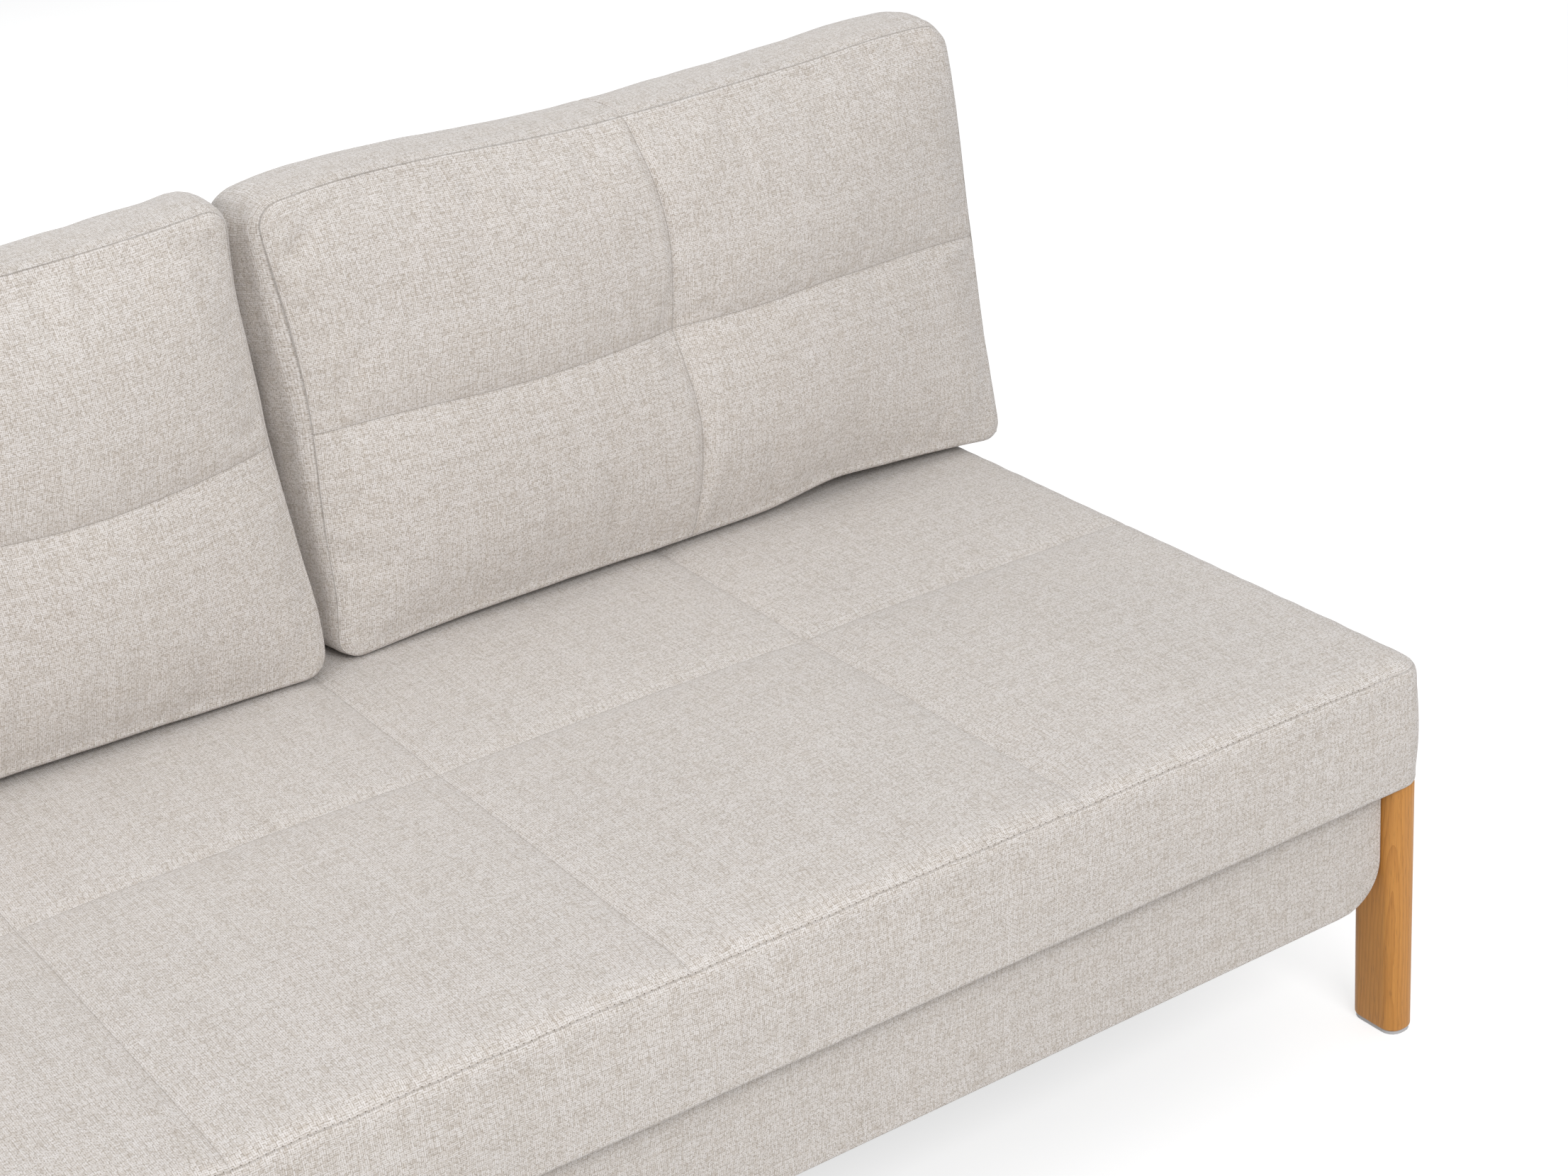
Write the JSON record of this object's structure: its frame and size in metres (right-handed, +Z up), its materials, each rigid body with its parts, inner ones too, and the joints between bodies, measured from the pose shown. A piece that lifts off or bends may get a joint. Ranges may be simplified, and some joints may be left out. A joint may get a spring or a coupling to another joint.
{
  "type": "sofa bed",
  "caption": "Armless click-clack sofa bed on oak legs: quilted seat that lifts over a storage base, ratcheted backrest that folds down flat, and loose boxed back cushions.",
  "frame": {"origin": "centre of the footprint on the floor, under the middle of the bounding box", "axes": "+X along the sofa to the sitter's left (the right of its front view), -Y out of its front, +Z up"},
  "size_m": [1.8326, 1.0944, 0.9695],
  "materials": {
    "woven_fabric": "coarse basket weave, matt",
    "oak": "satin lacquer",
    "grey_plastic": "moulded",
    "zinc_steel": "zinc plated",
    "painted_steel": "powder coat",
    "black_rubber": "moulded",
    "birch_ply": "sanded",
    "foam": "cut foam",
    "dust_cloth": "non-woven",
    "board": "particle board"
  },
  "bodies": {
    "base": {"front_left_leg": "oak", "rear_left_leg": "oak", "front_right_leg": "oak", "rear_right_leg": "oak", "front_left_glide": "grey_plastic", "rear_left_glide": "grey_plastic", "front_right_glide": "grey_plastic", "rear_right_glide": "grey_plastic", "front_left_leg_fixing": "zinc_steel", "rear_left_leg_fixing": "zinc_steel", "front_right_leg_fixing": "zinc_steel", "rear_right_leg_fixing": "zinc_steel", "base_front_board": "board", "base_rear_board": "board", "base_left_end_board": "board", "base_right_end_board": "board", "base_left_corner_batten": "board", "base_right_corner_batten": "board", "base_divider": "board", "base_floor": "board", "base_front_cover": "woven_fabric", "base_rear_cover": "woven_fabric", "base_left_end_cover": "woven_fabric", "base_right_end_cover": "woven_fabric", "base_dust_cloth": "dust_cloth", "left_hinge_bracket": "zinc_steel", "right_hinge_bracket": "zinc_steel", "left_pivot_rivet": "zinc_steel", "right_pivot_rivet": "zinc_steel", "left_seat_stop": "black_rubber", "centre_seat_stop": "black_rubber", "right_seat_stop": "black_rubber"},
    "seat": {"seat_pad": "woven_fabric", "seat_foam_core": "foam", "seat_slats": "birch_ply", "seat_front_rail": "painted_steel", "seat_rear_rail": "painted_steel", "seat_centre_rail": "painted_steel", "seat_left_rail": "painted_steel", "seat_right_rail": "painted_steel", "seat_underside_cloth": "dust_cloth", "left_seat_arm": "zinc_steel", "right_seat_arm": "zinc_steel"},
    "back": {"back_pad": "woven_fabric", "back_foam_core": "foam", "back_slats": "birch_ply", "back_bottom_rail": "painted_steel", "back_top_rail": "painted_steel", "back_centre_rail": "painted_steel", "back_left_rail": "painted_steel", "back_right_rail": "painted_steel", "back_rear_cloth": "dust_cloth", "left_back_arm": "zinc_steel", "right_back_arm": "zinc_steel", "left_pawl_spring": "zinc_steel", "right_pawl_spring": "zinc_steel"},
    "left_cushion": {"left_back_cushion": "woven_fabric"},
    "right_cushion": {"right_back_cushion": "woven_fabric"},
    "left_pawl": {"left_pawl": "zinc_steel"},
    "right_pawl": {"right_pawl": "zinc_steel"}
  },
  "joints": [
    {"name": "seat_lift", "type": "hinge", "parent": "base", "child": "seat", "pos_m": [-0.018, 0.45255, 0.4], "axis": [-1, 0, 0], "range_deg": [0, 30]},
    {"name": "back_recline", "type": "hinge", "parent": "seat", "child": "back", "pos_m": [-0.018, 0.45255, 0.4], "axis": [-1, 0, 0], "range_deg": [0, 82]},
    {"name": "left_cushion_lift", "type": "slide", "parent": "back", "child": "left_cushion", "axis": [0, 0.1392, 0.9903], "range_m": [0, 0.5]},
    {"name": "right_cushion_lift", "type": "slide", "parent": "back", "child": "right_cushion", "axis": [0, 0.1392, 0.9903], "range_m": [0, 0.5]},
    {"name": "left_pawl_rock", "type": "hinge", "parent": "back", "child": "left_pawl", "pos_m": [-0.8908, 0.47191, 0.46595], "axis": [-1, 0, 0], "range_deg": [0, 12], "stiffness_Nm_per_rad": 0.3, "springref_deg": -11.46},
    {"name": "right_pawl_rock", "type": "hinge", "parent": "back", "child": "right_pawl", "pos_m": [0.8548, 0.47191, 0.46595], "axis": [-1, 0, 0], "range_deg": [0, 12], "stiffness_Nm_per_rad": 0.3, "springref_deg": -11.46}
  ],
  "couplings": [
    {"joint": "right_pawl_rock", "follows": "left_pawl_rock", "ratio": 1}
  ]
}
